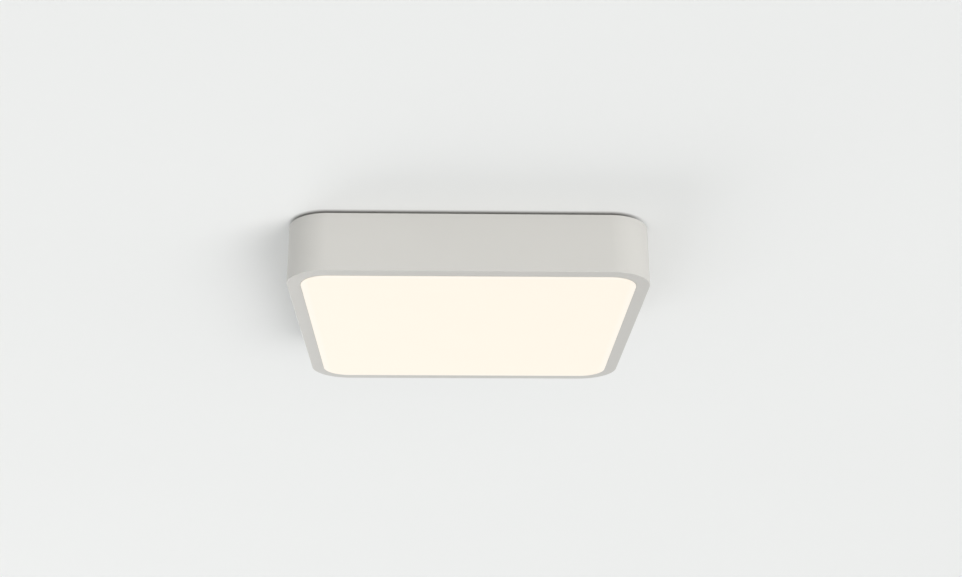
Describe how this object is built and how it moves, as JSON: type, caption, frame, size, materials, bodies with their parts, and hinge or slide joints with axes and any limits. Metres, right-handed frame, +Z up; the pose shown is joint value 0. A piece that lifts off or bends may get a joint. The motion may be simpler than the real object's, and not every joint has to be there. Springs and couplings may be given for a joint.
{
  "type": "led ceiling light",
  "caption": "Square surface ceiling light: painted frame with rounded corners and an opal LED diffuser, snapped by springs to a ceiling plate with driver and terminals.",
  "frame": {"origin": "middle of the light on the ceiling plane, between the four ceiling screws", "axes": "+Z up into the ceiling, +X along one side, -Y towards the side that faces the picture's viewer"},
  "size_m": [0.3, 0.3, 0.0526],
  "materials": {
    "frame_paint": "matte powder coat, pale warm grey",
    "opal": "opal moulded acrylic, satin",
    "gasket": "soft foam strip",
    "seal_foam": "closed cell foam, charcoal",
    "spring_steel": "bare spring steel",
    "base_paint": "white powder coat",
    "tray_paint": "white reflective paint",
    "zinc": "bright zinc plate",
    "grommet_rubber": "black rubber",
    "board_white": "white solder mask",
    "led_phosphor": "phosphor filled resin",
    "lens_clear": "clear moulded acrylic",
    "connector_white": "off-white nylon",
    "wire_red": "PVC insulation, red",
    "wire_black": "PVC insulation, black",
    "wire_brown": "PVC insulation, brown",
    "wire_blue": "PVC insulation, blue",
    "wire_earth": "PVC insulation, green and yellow",
    "terminal_grey": "light grey polyamide",
    "button_brown": "moulded plastic, brown",
    "button_blue": "moulded plastic, blue",
    "button_green": "moulded plastic, green",
    "brass": "tinned brass",
    "driver_white": "white moulded polycarbonate",
    "board_green": "green solder mask",
    "ferrite": "taped winding and ferrite core",
    "capacitor": "dark sleeve",
    "chip_black": "black moulding compound",
    "clip_nylon": "natural nylon"
  },
  "bodies": {
    "base": {"base_plate": "base_paint", "ceiling_seal": "seal_foam", "cable_grommet": "grommet_rubber", "spring_clip_front": "spring_steel", "spring_clip_right": "spring_steel", "spring_clip_back": "spring_steel", "spring_clip_left": "spring_steel", "clip_rivets": "zinc", "led_tray": "tray_paint", "tray_posts": "zinc", "tray_screws": "zinc", "feed_bush": "grommet_rubber", "led_strip_1": "board_white", "led_strip_2": "board_white", "led_strip_3": "board_white", "led_strip_4": "board_white", "led_strip_5": "board_white", "led_strip_6": "board_white", "leds": "led_phosphor", "led_lenses": "lens_clear", "strip_connectors": "connector_white", "strip_jumpers": "wire_black", "strip_screws": "zinc", "terminal_block": "terminal_grey", "terminal_contacts": "brass", "terminal_screw": "zinc", "earth_tab": "brass", "earth_screw": "zinc", "earth_lug": "brass", "driver_case": "driver_white", "driver_lid": "driver_white", "driver_board": "board_green", "driver_terminals": "button_green", "driver_transformer": "ferrite", "driver_capacitors": "capacitor", "driver_chips": "chip_black", "driver_screws": "zinc", "live_lead": "wire_brown", "neutral_lead": "wire_blue", "earth_lead": "wire_earth", "dc_plus_lead": "wire_red", "dc_minus_lead": "wire_black", "lead_clip": "clip_nylon"},
    "cover": {"frame": "frame_paint", "diffuser": "opal", "diffuser_gasket": "gasket", "diffuser_clips": "spring_steel"},
    "button_live": {"terminal_button_live": "button_brown"},
    "button_neutral": {"terminal_button_neutral": "button_blue"},
    "button_earth": {"terminal_button_earth": "button_green"}
  },
  "joints": [
    {"name": "cover_drop", "type": "slide", "parent": "base", "child": "cover", "axis": [0, 0, -1], "range_m": [0, 0.1], "deforming": ["spring_clip_front", "spring_clip_right", "spring_clip_back", "spring_clip_left"]},
    {"name": "live_press", "type": "slide", "parent": "base", "child": "button_live", "axis": [0, 0, 1], "range_m": [0, 0.0015], "stiffness_N_per_m": 1500},
    {"name": "neutral_press", "type": "slide", "parent": "base", "child": "button_neutral", "axis": [0, 0, 1], "range_m": [0, 0.0015], "stiffness_N_per_m": 1500},
    {"name": "earth_press", "type": "slide", "parent": "base", "child": "button_earth", "axis": [0, 0, 1], "range_m": [0, 0.0015], "stiffness_N_per_m": 1500}
  ]
}
